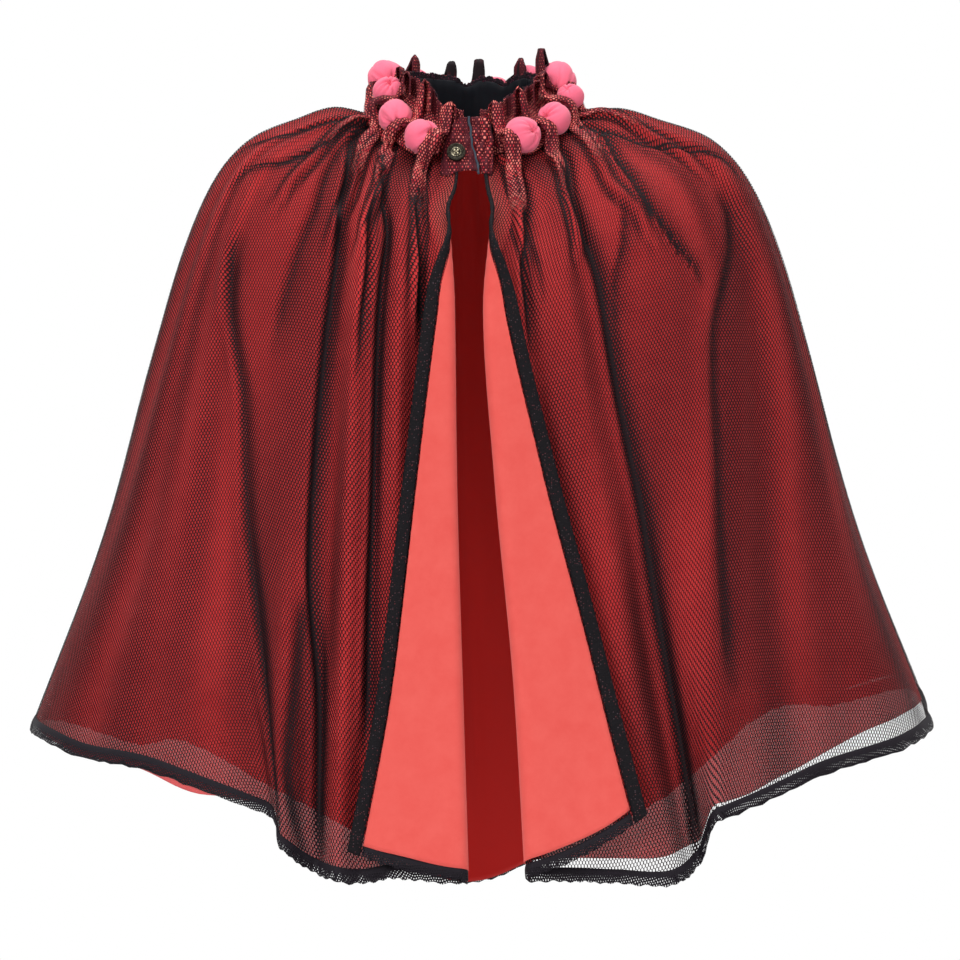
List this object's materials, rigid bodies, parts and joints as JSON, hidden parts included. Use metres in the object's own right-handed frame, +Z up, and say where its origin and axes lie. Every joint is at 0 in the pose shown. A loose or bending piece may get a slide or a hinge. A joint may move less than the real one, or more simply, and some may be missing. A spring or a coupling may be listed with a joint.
{
  "type": "tulle cape",
  "caption": "Short worn cape of black net over coral lining, its fronts turned back as lapels below a collar of net pleats and pink padded balls, closed with a buttoned tab.",
  "frame": {"origin": "centre of the neck, level with the neck seam at its sides, where the cape rests on its wearer's shoulders", "axes": "+Z up, the front faces -Y, and the wearer's left is +X"},
  "size_m": [0.7952, 0.5837, 0.761],
  "materials": {
    "black net": "open hexagonal net, dull",
    "coral cotton": "plain weave, matte",
    "black binding": "folded net band with a fine glitter",
    "net on coral": "black net gathered over coral cotton",
    "pink cotton": "gathered over padding, matte",
    "navy satin": "soft sheen",
    "dark bronze": "aged, satin"
  },
  "bodies": {
    "root": {"net_right_front": "black net", "lining_right_front": "coral cotton", "hem_band_right_front": "black net", "net_back": "black net", "lining_back": "coral cotton", "hem_band_back": "black net", "net_left_front": "black net", "lining_left_front": "coral cotton", "hem_band_left_front": "black net", "binding_right": "black binding", "binding_left": "black binding", "collar": "net on coral", "neck_band": "navy satin", "piping": "navy satin", "button_tab": "net on coral", "button_stand": "net on coral", "button": "dark bronze", "ball_01": "pink cotton", "ball_02": "pink cotton", "ball_03": "pink cotton", "ball_04": "pink cotton", "ball_05": "pink cotton", "ball_06": "pink cotton", "ball_07": "pink cotton", "ball_08": "pink cotton", "ball_09": "pink cotton", "ball_10": "pink cotton", "ball_11": "pink cotton", "ball_12": "pink cotton", "strap_01": "net on coral", "strap_02": "net on coral", "strap_03": "net on coral", "strap_04": "net on coral", "strap_05": "net on coral", "strap_06": "net on coral", "strap_07": "net on coral", "strap_08": "net on coral", "strap_09": "net on coral", "strap_10": "net on coral", "strap_11": "net on coral", "strap_12": "net on coral", "strap_13": "net on coral"}
  },
  "joints": []
}
